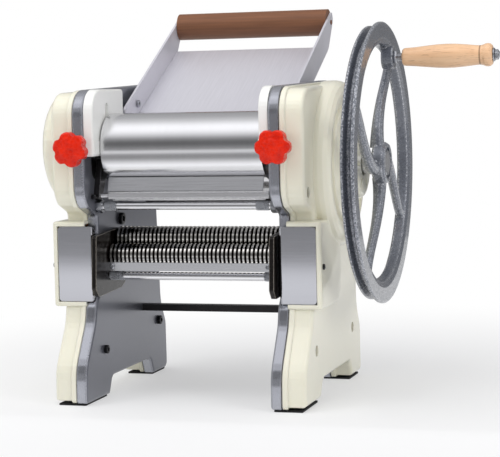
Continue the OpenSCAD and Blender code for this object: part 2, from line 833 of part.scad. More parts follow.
module bearing_block() difference() {
  union() {
    slab(frame_in + block_back, block_out) polygon(rounded(block_path(0, 0)));
    slab(frame_out + clear, block_out) polygon(rounded(block_path(0, block_lip)));
    slab(frame_in - clear - flange_t, frame_in + block_back) translate(front_axis)
      circle(r = flange_r);
    slab(frame_in - clear - flange_t, frame_in - clear) hull() {
      translate(front_axis) circle(r = flange_r - 7);
      translate(scraper_axis) circle(r = scraper_pin_r + lug_wall);
    }
  }
  bar(front_axis, front_journal_d / 2 + bush_t - 1, frame_in - 20, block_out + 1);
  bar(scraper_axis, scraper_pin_r, frame_in - 20, frame_in);
  at([screw_x, front_axis[0] - block_half - 1, front_axis[1]]) rotate([-90, 0, 0])
    cylinder(r = pin_d / 2 + play, h = pin_l + 1);
}

module left_bearing_block() placed() color("#2c2d30") mirror([1, 0, 0]) bearing_block();
module right_bearing_block() placed() color("#2c2d30") bearing_block();

// Knobs and their screws

module adjusting_screw() {
  front = front_axis[0] - block_half;
  at([screw_x, front, front_axis[1]]) rotate([-90, 0, 0]) cylinder(r = pin_d / 2, h = pin_l - 0.5);
  at([screw_x, -12, front_axis[1]]) rotate([-90, 0, 0]) cylinder(r = screw_d / 2,
    h = front + 12 - clear);
  at([screw_x, front - 1, front_axis[1]]) rotate([-90, 0, 0]) cylinder(r = pin_d / 2, h = 2);
}

knob_back = -gap_travel - 0.5;
knob_neck = 4;

lobe_r = 6.5;
valley_r = 3;
left_knob_turn = 18;

module knob(turn) at([screw_x, 0, front_axis[1]]) rotate([90, 0, 0]) difference() {
  union() {
    translate([0, 0, -knob_back]) cylinder(r = knob_d / 4, h = knob_neck);
    translate([0, 0, -knob_back + knob_neck]) intersection() {
      linear_extrude(knob_h) offset(r = -valley_r) offset(r = valley_r) {
        circle(d = knob_d - 8);
        for (k = [0:knob_lobes - 1])
          rotate(360 * k / knob_lobes + turn) translate([knob_d / 2 - lobe_r, 0]) circle(r = lobe_r);
      }
      rotate_extrude() polygon([
        [0, 0], [knob_d / 2 - 2, 0], [knob_d / 2 - 0.5, 1.2], [knob_d / 2, 3],
        [knob_d / 2, knob_h - 4.5], [knob_d / 2 - 0.6, knob_h - 3], [knob_d / 2 - 2, knob_h - 1.8],
        [knob_d / 2 - 5, knob_h - 1.2], [knob_d / 4, knob_h - 0.5], [knob_d / 5, knob_h], [0, knob_h]
      ]);
    }
  }
  translate([0, 0, -knob_back - 1]) cylinder(r = screw_d / 2, h = 12 + knob_back + 1);
}

module left_knob() placed() color("#c21d22") mirror([1, 0, 0]) knob(left_knob_turn);
module right_knob() placed() color("#c21d22") knob(0);
module left_adjusting_screw() placed() color("#9fa2a6") mirror([1, 0, 0]) adjusting_screw();
module right_adjusting_screw() placed() color("#9fa2a6") adjusting_screw();

// Scrapers

blade_t = 1.5;

// Blade from a foot at p to just under a roller's surface
module blade(p, centre, angle, half_w) {
  tip = centre + (roller_r + clear + 0.1) * dir(angle);
  way = unit(tip - p);
  side = [-way[1], way[0]] * blade_t / 2;
  slab(-half_w, half_w) polygon([p - side, tip - side, tip + side, p + side]);
}

module front_scraper_blade() placed() color("#3a3b3e")
  blade(scraper_axis + [0.5, scraper_size[1] / 2 + 0.3], front_axis, 240, roller_end - 2);

// Flat bar with a thin strip under it and a pin at each end
module front_scraper_bar() placed() color("#c9ccd0") {
  slab(-roller_end + 3, roller_end + 5) translate(scraper_axis) square(scraper_size, center = true);
  slab(-roller_end + 7, roller_end) translate(scraper_axis + [1, -scraper_size[1] / 2 - 1.7])
    square([1.5, 2]);
  bar(scraper_axis, scraper_pin_r, -frame_in + clear, frame_in - clear);
}

module rear_scraper() placed() color("#3a3b3e") {
  bar(rear_scraper_axis, rear_scraper_r, -frame_out + 2, frame_out - 2);
  blade(rear_scraper_axis + (rear_scraper_r - 0.5) * unit(drive_axis - rear_scraper_axis),
    drive_axis, 300, roller_end - 2);
}

// Tie rods

module upper_tie_rod() placed() color("#c9ccd0") bar(tie_axis, tie_r, -frame_out + 1, frame_out - 1);

module tie_rod_nuts() placed() color("#b9bcc0") pair()
  difference() {
    bar_hex(tie_axis, nut_af, frame_in - nut_h, frame_in);
    bar(tie_axis, tie_r, frame_in - nut_h - 1, frame_in + 1);
  }

// Hexagonal bar along X, af across its flats, with a flat on top
module bar_hex(p, af, x0, x1)
  slab(x0, x1) translate(p) rotate(30) circle(r = af / 2 / cos(30), $fn = 6);

module tie_rod_bushes() placed() color("#8c8e92") pair() difference() {
  bar(tie_axis, tie_r + 1, frame_in - nut_h - 2 - tie_bush_l, frame_in - nut_h - 2);
  bar(tie_axis, tie_r, frame_in - nut_h - 3 - tie_bush_l, frame_in);
}

module rear_upper_tie_rod() placed() color("#c9ccd0")
  bar([rest_y, rest_z], rest_r, -frame_out + 1, frame_out - 1);

module rear_tie_bar() placed() color("#1e1e20")
  slab(-frame_in, frame_in) translate(tie_bar_at) square(tie_bar_size, center = true);

module frame_bolts() placed() color("#232325") pair() for (k = [0:len(frame_bolt_heads) - 1]) {
  bar(frame_bolt_places[k], frame_bolt_heads[k], frame_in - 4, frame_in);
  bar(frame_bolt_places[k], frame_bolt_r, frame_in - 1, frame_out - 1);
}

// Cutter

cutter_in = frame_in - cutter_plate_t;
bush_wall = 2.5;

module cutter_plate() difference() {
  slab(cutter_in, frame_in) polygon(rounded(plate_outline));
  for (p = [cutter_axis, rear_cutter_axis])
    bar(p, cutter_journal_d / 2 + bush_wall, cutter_in - 1, frame_in + 1);
  for (p = [lower_rod_axis, cutter_rod_axis])
    bar(p, rod_r, cutter_in - 1, frame_in + 1);
}

module left_cutter_plate() placed() color("#2b2b2e") mirror([1, 0, 0]) cutter_plate();
module right_cutter_plate() placed() color("#2b2b2e") cutter_plate();

module cutter_bushes() placed() color("#b08d4c") pair()
  for (p = [cutter_axis, rear_cutter_axis])
    bush(p, cutter_journal_d / 2, bush_wall, cutter_in, frame_in);

// Section of a grooved roll as (radius, x) with its ridges moved along by shift
module roll_section(shift) {
  step = roll_step;
  end = cutter_in - clear;
  polygon(concat(
    [[0, -end], [groove_d / 2, -end]],
    [for (k = [0:ridges - 1])
      let (x = (k - (ridges - 1) / 2) * step + shift)
      each [[groove_d / 2, x - ridge_w / 2], [ridge_d / 2, x - ridge_w / 2],
        [ridge_d / 2, x + ridge_w / 2], [groove_d / 2, x + ridge_w / 2]]],
    [[groove_d / 2, end], [0, end]]
  ));
}

roll_step = (2 * cutter_in - 4) / ridges;

module cutter_roll(p, shift) {
  turned(p) roll_section(shift);
  bar(p, cutter_journal_d / 2, -train_in - train_w - 2, frame_in - 1);
}

module front_cutter_roll() placed() color("#b9bcc0") cutter_roll(cutter_axis, -roll_step / 4);
module rear_cutter_roll() placed() color("#b9bcc0") cutter_roll(rear_cutter_axis, roll_step / 4);

// Comb plate from a foot at p whose fingers reach into the grooves of the roll round centre
module comb(p, centre, angle, shift) {
  tip = centre + (groove_d / 2 + 0.8) * dir(angle);
  way = tip - p;
  len_ = norm(way);
  finger = (ridge_d - groove_d) / 2 + 2.5;
  width = roll_step - ridge_w - 2 * clear;
  translate([0, p[0], p[1]]) rotate([atan2(way[1], way[0]), 0, 0])
    translate([0, 0, -comb_t / 2]) linear_extrude(comb_t) {
      translate([-cutter_in, 0]) square([2 * cutter_in, len_ - finger]);
      for (k = [0:ridges - 2])
        translate([(k - (ridges - 2) / 2) * roll_step + shift - width / 2, len_ - finger - 1])
          square([width, finger + 1]);
    }
}

front_comb_foot = cutter_axis + [-20, -6.8];

module front_comb() placed() color("#55575a") {
  comb(front_comb_foot, cutter_axis, 220, -roll_step / 4);
  slab(-cutter_in, cutter_in) translate(front_comb_foot + [-comb_t, -7.9])
    square([comb_t, 7.9 + comb_t / 2]);
}

module rear_comb() placed() color("#55575a")
  comb(rear_cutter_axis + [16.4, -18.3], rear_cutter_axis, 315, roll_step / 4);

module lower_front_rod() placed() color("#c9ccd0") bar(lower_rod_axis, rod_r, -frame_in, frame_in);

module lower_rod_bushes() placed() color("#8c8e92") pair() difference() {
  bar(lower_rod_axis, rod_r + 1, cutter_in - rod_bush_l, cutter_in);
  bar(lower_rod_axis, rod_r, cutter_in - rod_bush_l - 1, cutter_in + 1);
}

module cutter_rear_rod() placed() color("#8c8e92") bar(cutter_rod_axis, rod_r, -frame_in, frame_in);

// Gears inside the left cover

roller_thin = 1.1;
train_thin = 0.35;
drive_phase = 0;
front_gear_phase = mesh_phase(drive_axis, roller_teeth, drive_phase, front_axis, roller_teeth);
idler_phase = mesh_phase(drive_axis, cutter_drive_teeth, drive_phase, idler_axis, idler_teeth);
rear_cutter_phase = mesh_phase(idler_axis, idler_teeth, idler_phase, rear_cutter_axis, cutter_teeth);
front_cutter_phase = mesh_phase(rear_cutter_axis, cutter_teeth, rear_cutter_phase,
  cutter_axis, cutter_teeth);

module gear(p, n, m, phase, thin, addendum, bore, x0, width) difference() {
  slab(-x0 - width, -x0) translate(p) polygon(gear_points(n, m, phase, thin, addendum));
  bar(p, bore, -x0 - width - 1, -x0 + 1);
}

module roller_gear(p, phase, bore)
  gear(p, roller_teeth, roller_module, phase, roller_thin, 1, bore, roller_gear_in, roller_gear_w);

module train_gear(p, n, phase, bore)
  gear(p, n, train_module, phase, train_thin, 0.9, bore, train_in, train_w);

module roller_drive_gear() placed() color("#7c7f83")
  roller_gear(drive_axis, drive_phase, shaft_d / 2);

module front_roller_gear() placed() color("#7c7f83")
  roller_gear(front_axis, front_gear_phase, shaft_d / 2 - 1);

module cutter_drive_gear() placed() color("#7c7f83")
  train_gear(drive_axis, cutter_drive_teeth, drive_phase, shaft_d / 2);

module idler_gear() placed() color("#7c7f83")
  train_gear(idler_axis, idler_teeth, idler_phase, idler_pin_r + bush_wall);

module rear_cutter_gear() placed() color("#7c7f83")
  train_gear(rear_cutter_axis, cutter_teeth, rear_cutter_phase, cutter_journal_d / 2);

module front_cutter_gear() placed() color("#7c7f83")
  train_gear(cutter_axis, cutter_teeth, front_cutter_phase, cutter_journal_d / 2);

module idler_bush() placed() color("#b08d4c")
  bush(idler_axis, idler_pin_r, bush_wall, -train_in - train_w, -train_in);

module idler_pin() placed() color("#9fa2a6") {
  bar(idler_axis, idler_pin_r, -train_in - train_w - clear, -frame_in - 1);
  bar(idler_axis, idler_pin_r + 2.5, -train_in - train_w - clear - 3, -train_in - train_w - clear);
  bar(idler_axis, idler_pin_r + 2.5, -train_in + clear, -frame_out);
}

// Flywheel and crank

// Section of the rim as (radius, x) with its belt groove
module rim_section() {
  r = wheel_r;
  polygon([
    [r - rim_h - 2, wheel_in + 4], [r - rim_h + 3, wheel_in + 1.5], [r - 5.5, wheel_in],
    [r - 4, wheel_in + 1], [r - 4, wheel_in + 2.5], [r - groove_h, wheel_mid - 1.5],
    [r - groove_h, wheel_mid + 0.5], [r, wheel_out - 3], [r, wheel_out - 1], [r - 1, wheel_out],
    [r - 16, wheel_out], [r - rim_h + 1, wheel_out - 2], [r - rim_h, wheel_out - 4]
  ]);
}

hub_nut_af = shaft_d + 6;
hub_recess_r = hub_nut_af / 2 / cos(30) + 1.5;

// Points along the middle of spoke k from the hub to the rim
spoke_steps = 12;
function ease(s) = 3 * s * s - 2 * s * s * s;
function spoke_point(k, s) =
  let (
    r = hub_d / 2 - 5 + s * (wheel_r - rim_h + 10 - hub_d / 2),
    a = spoke_end_angle + spoke_sweep * (1 - ease(pow(s, 0.6))) + 360 * k / spokes
  )
  drive_axis + r * dir(a);

module flywheel() placed() color("#9a9ea2") difference() {
  union() {
    turned(drive_axis) rim_section();
    turned(drive_axis) polygon([
      [shaft_d / 2, hub_in], [hub_d / 2 - 2, hub_in], [hub_d / 2, hub_in + 2],
      [hub_d / 2, hub_out - 3], [hub_d / 2 - 2, hub_out], [hub_recess_r, hub_out],
      [hub_recess_r, hub_out - hub_recess_d], [shaft_d / 2, hub_out - hub_recess_d]
    ]);
    for (k = [0:spokes - 1])
      sweep(
        [for (i = [0:spoke_steps]) spoke_point(k, i / spoke_steps)],
        [for (i = [0:spoke_steps]) spoke_d / 2 + 3 * pow(1 - i / spoke_steps, 3)],
        wheel_mid
      );
    bar(crank_axis, crank_boss_r, wheel_in + 7, wheel_out + 4);
  }
  bar(crank_axis, bolt_r, wheel_in, wheel_out + 5);
}

module hub_nut() placed() color("#b9bcc0") difference() {
  bar_hex(drive_axis, hub_nut_af, hub_out - hub_recess_d, hub_out - 0.5);
  bar(drive_axis, shaft_d / 2, hub_out - hub_recess_d - 1, hub_out + 1);
}

module crank_bolt() placed() color("#b9bcc0") {
  bar(crank_axis, bolt_r, wheel_in + 8, grip_out + clear + 2);
  bar_hex(crank_axis, 2 * bolt_r + 5, wheel_out + 4, wheel_out + 7);
}

module wooden_grip() placed() color("#b98a5a") difference() {
  turned(crank_axis) polygon([
    [bolt_r, grip_in], [8, grip_in], [9, grip_in + 1.2], [9.3, grip_in + 3],
    [9.8, grip_in + 12], [11, grip_in + 24], [12.1, grip_in + 36], [grip_d / 2, grip_in + 46],
    [12.3, grip_in + 55], [11.4, grip_in + 66], [10.3, grip_in + 76], [10, grip_out - 13],
    [10.6, grip_out - 10], [11.7, grip_out - 7.5], [12, grip_out - 5], [11.6, grip_out - 2.5],
    [10, grip_out - 0.6], [8.5, grip_out], [bolt_r, grip_out]
  ]);
  bar(crank_axis, bolt_r + play, grip_in - 1, grip_out + 1);
}

module grip_nut() placed() color("#b9bcc0") difference() {
  turned(crank_axis) polygon([
    [0, grip_out + clear], [8, grip_out + clear], [8, grip_out + clear + 3],
    [6.5, cap_out - 1], [4, cap_out], [0, cap_out]
  ]);
  bar(crank_axis, bolt_r, grip_out - 1, grip_out + clear + 2);
}

// Chute

module on_rail(x0, x1) slab(x0, x1) translate(pivot) rotate(chute_slope) children();

module chute_rail() difference() {
  on_rail(rail_in, rail_out) polygon(rounded(rail_outline));
  bar(pivot, pivot_r + play, rail_in - 1, rail_out + 1);
  bar(on_chute(wood_at), wood_pin_r + play, rail_in - 1, rail_out + 1);
}

module left_chute_rail() placed() color("#cfd2d4") mirror([1, 0, 0]) chute_rail();
module right_chute_rail() placed() color("#cfd2d4") chute_rail();

module chute_floor() placed() color("#d9dbdc") on_rail(-rail_in, rail_in)
  translate([-25, -floor_low]) square([chute_l - 11, floor_t]);

module chute_roller() placed() color("#7a5230") {
  bar(on_chute(wood_at), wood_d / 2, -rail_in + clear, rail_in - clear);
  bar(on_chute(wood_at), wood_pin_r, -rail_out - 1, rail_out + 1);
}

module chute_pivots() placed() color("#b9bcc0") pair() {
  bar(pivot, pivot_r, rail_in - 2, frame_out - 1);
  bar(pivot, pivot_r + 1.5, rail_in - 3, rail_in - clear);
  bar(pivot, pivot_r + 2.5, rail_out + clear, frame_in);
}

left_frame();
right_frame();
left_cover();
right_cover();
left_front_panel();
right_front_panel();
left_guard();
right_guard();
rubber_feet();
rear_roller();
front_roller();
left_bearing_block();
right_bearing_block();
front_roller_bushes();
drive_bushes();
left_knob();
right_knob();
left_adjusting_screw();
right_adjusting_screw();
front_scraper_blade();
front_scraper_bar();
rear_scraper();
upper_tie_rod();
tie_rod_nuts();
tie_rod_bushes();
rear_upper_tie_rod();
rear_tie_bar();
frame_bolts();
left_cutter_plate();
right_cutter_plate();
cutter_bushes();
front_cutter_roll();
rear_cutter_roll();
front_comb();
rear_comb();
lower_front_rod();
lower_rod_bushes();
cutter_rear_rod();
roller_drive_gear();
front_roller_gear();
cutter_drive_gear();
idler_gear();
idler_bush();
idler_pin();
rear_cutter_gear();
front_cutter_gear();
cover_screws();
panel_screws();
flywheel();
hub_nut();
crank_bolt();
wooden_grip();
grip_nut();
left_chute_rail();
right_chute_rail();
chute_floor();
chute_roller();
chute_pivots();
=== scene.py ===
import json
import math

import bmesh
import bpy
import numpy as np
from mathutils import Matrix, Vector


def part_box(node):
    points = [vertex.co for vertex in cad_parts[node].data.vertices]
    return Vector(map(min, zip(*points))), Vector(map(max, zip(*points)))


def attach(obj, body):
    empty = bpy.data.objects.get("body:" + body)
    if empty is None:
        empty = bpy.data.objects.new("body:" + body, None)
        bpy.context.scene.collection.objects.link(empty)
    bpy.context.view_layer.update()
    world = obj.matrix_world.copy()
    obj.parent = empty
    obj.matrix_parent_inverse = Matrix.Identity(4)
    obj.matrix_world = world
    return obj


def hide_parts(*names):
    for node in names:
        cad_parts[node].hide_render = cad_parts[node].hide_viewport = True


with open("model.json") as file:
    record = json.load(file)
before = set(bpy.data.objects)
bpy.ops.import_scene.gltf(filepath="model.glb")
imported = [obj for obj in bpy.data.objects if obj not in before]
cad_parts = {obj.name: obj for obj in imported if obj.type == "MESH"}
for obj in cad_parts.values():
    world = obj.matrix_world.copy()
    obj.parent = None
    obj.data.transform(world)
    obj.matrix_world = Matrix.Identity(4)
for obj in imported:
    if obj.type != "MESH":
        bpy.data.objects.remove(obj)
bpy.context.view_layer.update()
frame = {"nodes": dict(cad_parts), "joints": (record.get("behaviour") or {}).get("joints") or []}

# The camera is the photograph's: a long lens in front of the machine, a little to the right of its
# middle and a little above the rollers, with a slight tilt of the picture.

# Places are in the machine's millimetres: x to the right from the middle between the side frames,
# y to the back and z up from the table. The rear tie bar, whose middle is known in these too,
# gives the step from there to the frame's metres.

TIE_BAR = (0, 167, 80.5)
ORIGIN = (np.mean(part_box("rear_tie_bar"), 0) * 1000 - TIE_BAR).round(3)
LENS, SENSOR = 124.6, 36
AIM, DISTANCE = (47.52, 100, 173.4), 1.8131  # distance from the aim in metres
TURN, DIP, TILT = math.radians(16.57), math.radians(4.51), math.radians(-1.26)


def place(x, y, z):
    """Point in the machine's millimetres, turned into metres in the frame."""
    return Vector((np.array([x, y, z]) + ORIGIN) / 1000)


ahead = Vector((-math.sin(TURN) * math.cos(DIP), math.cos(TURN) * math.cos(DIP), -math.sin(DIP)))
level = Vector((math.cos(TURN), math.sin(TURN), 0))
above = level.cross(ahead)
side = math.cos(TILT) * level + math.sin(TILT) * above
top = math.cos(TILT) * above - math.sin(TILT) * level
camera = bpy.data.objects.new("camera", bpy.data.cameras.new("camera"))
camera.data.lens = LENS
camera.data.sensor_width = SENSOR
camera.matrix_world = Matrix((side, top, -ahead)).transposed().to_4x4()
camera.location = place(*AIM) - DISTANCE * ahead
bpy.context.scene.collection.objects.link(camera)
bpy.context.scene.camera = camera

# The two side frames are iron castings, ground along their edges and sprayed with a silver-grey
# enamel that keeps a trace of the casting's skin. Their edges and front strips are painted a
# lighter bare iron, partly the ground metal and partly a painted highlight. Everything else is
# bolted between or onto them.


class Wire:
    """An output socket in a finish's node tree. Sums, differences and products of wires and
    numbers add Math nodes to the tree, and node() adds any other node."""

    def __init__(self, tree, socket=None):
        self.tree = tree
        self.socket = socket

    def node(self, kind, sockets=None, out=0, **settings):
        """Adds a node of a kind with its settings, links or sets its sockets, and gives one of
        its outputs."""
        made = self.tree.nodes.new("ShaderNode" + kind)
        for k, (spot, colour) in enumerate(settings.pop("stops", ())):
            stops = made.color_ramp.elements
            stop = stops[k] if k < 2 else stops.new(spot)
            stop.position, stop.color = spot, colour
        for name, value in settings.items():
            setattr(made, name, value)
        for name, value in (sockets or {}).items():
            if isinstance(value, Wire):
                self.tree.links.new(value.socket, made.inputs[name])
            else:
                made.inputs[name].default_value = value
        return Wire(self.tree, made.outputs[out])

    def math(self, operation, *others):
        """Math node whose first value is this wire."""
        return self.node("Math", dict(enumerate((self, *others))), operation=operation)

    def __add__(self, other):
        return self.math("ADD", other)

    def __sub__(self, other):
        return self.math("SUBTRACT", other)

    def __rsub__(self, other):
        return self.node("Math", {0: other, 1: self}, operation="SUBTRACT")

    def __mul__(self, other):
        return self.math("MULTIPLY", other)

    __radd__ = __add__
    __rmul__ = __mul__


def tone(red, green, blue):
    """Linear colour of a screen colour from 0 to 255, by the screen's own curve: a straight line
    where it is very dark, and a power of 2.4 above that."""
    return tuple((c / 255 / 12.92 if c < 11 else ((c / 255 + 0.055) / 1.055) ** 2.4)
                 for c in (red, green, blue)) + (1.0,)


def finish(name, **constants):
    """New material with those constants on its shader. Gives the material, its shader and the
    place on the piece in metres."""
    made = bpy.data.materials.new(name)
    made.use_nodes = True
    shader = made.node_tree.nodes["Principled BSDF"]
    for socket, value in constants.items():
        shader.inputs[socket.replace("_", " ")].default_value = value
    return made, shader, Wire(made.node_tree).node("TexCoord", out="Object")


def feed(shader, socket, wire):
    """Links a wire to the shader."""
    wire.tree.links.new(wire.socket, shader.inputs[socket])


def coat(material, *names):
    """Gives CAD pieces a finish."""
    for name in names:
        for slot in frame["nodes"][name].material_slots:
            slot.material = material


def grain(spot, scale, detail=2.0, rough=0.5, stretch=(1, 1, 1)):
    """Noise from 0 to 1 with about scale grains to the metre, which are drawn out along each
    axis where stretch is small."""
    spread = spot.node("Mapping", {"Vector": spot, "Scale": stretch})
    return spread.node("TexNoise", {"Vector": spread, "Scale": scale, "Detail": detail,
                                    "Roughness": rough}, "Fac")


def blend(wire, low, high):
    """Colour that goes from low to high as a wire goes from 0 to 1. The Mix node has its colours
    at sockets 6 and 7 and its mixed colour at 2."""
    return wire.node("Mix", {0: wire, 6: low, 7: high}, 2, data_type="RGBA")


def span(wire, low, high):
    """0 below low, 1 above high, and a smooth rise between them."""
    return wire.node("MapRange", {"Value": wire, "From Min": low, "From Max": high},
                     interpolation_type="SMOOTHSTEP")


def soft(spot, radius):
    """Normal of a surface whose edges are rounded to a radius in metres."""
    return spot.node("Bevel", {"Radius": radius}, samples=4)


def edges(spot, radius, low=0.01, high=0.12):
    """1 along the edges of a piece and 0 on its faces: 1 less the product of the rounded and the
    plain normal, spread from low to high."""
    plain = spot.node("NewGeometry", out="Normal")
    same = spot.node("VectorMath", {0: soft(spot, radius), 1: plain}, "Value",
                     operation="DOT_PRODUCT")
    return span(1.0 - same, low, high)


def bump(shader, height, distance, under=None):
    """Relief of that many metres, on a softened normal if one is given."""
    sockets = {"Height": height, "Distance": distance}
    if under:
        sockets["Normal"] = under
    feed(shader, "Normal", height.node("Bump", sockets))


enamel_low, enamel_high, bare_iron_and_sheen = tone(104, 106, 115), tone(126, 128, 138), tone(178, 180, 188)
enamel, shader, spot = finish("frame_enamel", Coat_Weight=0.3, Coat_Roughness=0.12)
skin = grain(spot, 420, 4)
cloud = grain(spot, 18, 3)
wear_and_glint = edges(spot, 0.0022)
facing = spot.node("SeparateXYZ", {0: spot.node("NewGeometry", out="Normal")}, "X")
bare_rim_and_sheen = 1.0 - span(facing.math("ABSOLUTE"), 0.2, 0.75)
paint = blend(cloud * 0.6 + skin * 0.4, enamel_low, enamel_high)
# Edges and strips that don't face sideways are painted light bare iron: partly ground metal, partly
# a painted highlight.
feed(shader, "Base Color", blend((wear_and_glint * 0.8 + bare_rim_and_sheen).math("MINIMUM", 1.0), paint, bare_iron_and_sheen))
feed(shader, "Metallic", bare_rim_and_sheen * 0.3 + 0.6)
feed(shader, "Roughness", (skin * 0.14 + cloud * 0.1) * (1.0 - bare_rim_and_sheen * 0.7) + 0.22)
bump(shader, skin * (1.0 - bare_rim_and_sheen * 0.95), 0.00008, soft(spot, 0.003))
coat(enamel, "left_frame", "right_frame")

# Rubber pads under the feet, cut from black rubber and glued on. Their fine pores hold dust, so
# they are matt and a little grey.


def mottled(name, pattern, low, high, smooth, rougher, relief, rounding=0.0, **constants):
    """Finish that follows one pattern of grain: its colour goes from low to high with it, its
    roughness is smooth + rougher * grain, and the grain is its relief too. The relief's height
    and the rounding of the edges are in metres."""
    made, shader, spot = finish(name, **constants)
    mark = grain(spot, *pattern)
    feed(shader, "Base Color", blend(mark, low, high))
    feed(shader, "Roughness", mark * rougher + smooth)
    bump(shader, mark, relief, soft(spot, rounding) if rounding else None)
    return made


coat(mottled("pad_rubber", (700, 3), tone(20, 20, 21), tone(38, 38, 40), smooth=0.65, rougher=0.2,
             relief=0.0001, Specular_IOR_Level=0.3), "rubber_feet")

# Covers over the outer sides, moulded in glossy cream plastic and screwed on through bosses. The
# mould leaves them a little wavy. Their edges are painted paler than their faces, a painted
# highlight.

cream_low, cream_high, cream_edge_highlight = tone(228, 225, 205), tone(239, 236, 220), tone(250, 248, 236)
cream, shader, spot = finish("cover_plastic", Coat_Weight=0.45, Coat_Roughness=0.06,
                             Subsurface_Weight=0.06, Subsurface_Radius=(0.004, 0.003, 0.002),
                             Subsurface_Scale=1.0)
flow = grain(spot, 11, 3)
pores = grain(spot, 1500, 2)
# Painted highlight: the edges are painted paler.
feed(shader, "Base Color", blend(edges(spot, 0.002) * 0.5, blend(flow, cream_low, cream_high),
                                 cream_edge_highlight))
feed(shader, "Roughness", pores * 0.06 + flow * 0.08 + 0.24)
bump(shader, pores * 0.1 + grain(spot, 26, 2), 0.0006, soft(spot, 0.0016))
coat(cream, "left_cover", "right_cover")

# Panels in the front of the covers, stamped from stainless sheet, brushed across and bent back
# along their inner side. A screw through the side of the cover holds each.

brushed, shader, spot = finish("panel_steel", Metallic=1.0)
lines = grain(spot, 1300, 3, 0.65, (0.025, 1, 1))
bands = grain(spot, 160, 2, 0.5, (0.06, 1, 1))
feed(shader, "Base Color", blend(lines * 0.6 + bands * 0.4, tone(206, 207, 213),
                                 tone(220, 221, 227)))
feed(shader, "Roughness", lines * 0.05 + bands * 0.03 + 0.04)
bump(shader, lines, 0.000001, soft(spot, 0.0008))
coat(brushed, "left_front_panel", "right_front_panel")

# Guards that close the ends of the roller gap, moulded in matt white plastic and set on the
# frames' inner faces.

white, shader, spot = finish("guard_plastic", Coat_Weight=0.2, Coat_Roughness=0.2)
pores = grain(spot, 1100, 3)
feed(shader, "Base Color", blend(grain(spot, 14), tone(234, 235, 232), tone(243, 243, 241)))
feed(shader, "Roughness", pores * 0.12 + 0.3)
bump(shader, pores, 0.00005, soft(spot, 0.001))
coat(white, "left_guard", "right_guard")

# Two smooth rollers, turned from stainless bar and polished in the lathe, which leaves fine rings
# round them. They run in bronze bushes, and the front one slides to set the gap.

polished, shader, spot = finish("roller_steel", Metallic=1.0)
rings = grain(spot, 1400, 2, 0.5, (1, 0.02, 0.02))
smear = grain(spot, 24, 3)
feed(shader, "Base Color", blend(rings * 0.5 + smear * 0.5, tone(222, 222, 224),
                                 tone(236, 236, 238)))
feed(shader, "Roughness", rings * 0.05 + smear * 0.05 + 0.13)
bump(shader, rings, 0.000002)
coat(polished, "rear_roller", "front_roller")

# Bright steel, rolled or drawn and left bare: the blade under the front roller, the comb under
# the cutters, the screws that set the roller gap and the pin of the idler gear.

coat(mottled("bright_steel", (900, 3, 0.55, (0.03, 1, 1)), tone(214, 215, 219),
             tone(236, 237, 240), smooth=0.15, rougher=0.14, relief=0.000008, Metallic=1.0),
     "front_scraper_blade", "front_comb", "left_adjusting_screw", "right_adjusting_screw",
     "idler_pin")

# Rods that hold the side frames apart and the bar that carries the scraper blade, cut from drawn
# bright bar. The rods are polished, and the flat bar has broad rounded corners and is duller.

for name, smooth, rounding, pieces in (
        ("rod_steel", 0.06, 0.0004,
         ("upper_tie_rod", "rear_upper_tie_rod", "lower_front_rod", "cutter_rear_rod")),
        ("bar_steel", 0.24, 0.003, ("front_scraper_bar",))):
    coat(mottled(name, (900, 3, 0.55, (0.02, 1, 1)), tone(226, 226, 229), tone(248, 248, 250),
                 smooth, rougher=0.05, relief=0.000001, rounding=rounding, Metallic=1.0), *pieces)

# Cutter rolls, turned from steel with grooves that the other roll's ridges run in. The ridges are
# ground bright, and the grooves are painted near black as painted shade, by the distance from
# each roll's own axis.

GROOVE_R, RIDGE_R = 0.0113, 0.0123  # metres, as in every finish


def pivot(joint):
    """Point on the axis of a joint, in the machine's millimetres."""
    return np.array(next(j["pos_m"] for j in frame["joints"] if j["name"] == joint)) * 1000 - ORIGIN


for which in ("front", "rear"):
    ground, shader, spot = finish(which + "_cutter_steel", Metallic=1.0)
    axis = place(*pivot(which + "_cutter_spin"))
    across = spot.node("Mapping", {"Vector": spot, "Location": (0, -axis.y, -axis.z),
                                   "Scale": (0, 1, 1)})
    radius = spot.node("VectorMath", {0: across}, "Value", operation="LENGTH")
    # 1 on the ridges and 0 in the grooves, where the near black is painted shade.
    ridge_over_groove_shade = span(radius, GROOVE_R, RIDGE_R)
    oil = grain(spot, 500, 3)
    feed(shader, "Base Color", blend(ridge_over_groove_shade, tone(22, 17, 14), tone(246, 243, 238)))
    feed(shader, "Roughness", oil * 0.08 - ridge_over_groove_shade * 0.14 + 0.24)
    bump(shader, oil, 0.00001)
    coat(ground, which + "_cutter_roll")

# Bearing blocks, rear scraper, tie bar and rear comb, cut from plate and blackened in hot oil,
# which wears off along their edges. The edges are painted light grey, partly that wear and partly
# a painted highlight.

black, shader, spot = finish("blackened_steel", Metallic=0.75, Coat_Weight=0.3,
                             Coat_Roughness=0.15)
oil = grain(spot, 60, 4)
# Edges painted light grey: partly wear, partly a painted highlight.
feed(shader, "Base Color", blend(edges(spot, 0.001) * 0.55,
                                 blend(oil, tone(30, 28, 29), tone(54, 52, 54)),
                                 tone(150, 150, 154)))
feed(shader, "Roughness", oil * 0.22 + 0.26)
bump(shader, grain(spot, 800, 3), 0.00004, soft(spot, 0.0006))
coat(black, "left_bearing_block", "right_bearing_block", "rear_scraper", "rear_tie_bar",
     "rear_comb")

# The two plates that carry the cutter rolls, pressed from sheet with a rolled rim. They are
# lacquered a brownish black, and their edges are painted light grey as a painted highlight.

lacquer, shader, spot = finish("plate_lacquer", Metallic=0.2, Coat_Weight=0.2,
                               Coat_Roughness=0.1, Specular_IOR_Level=0.3)
oil = grain(spot, 120, 4)
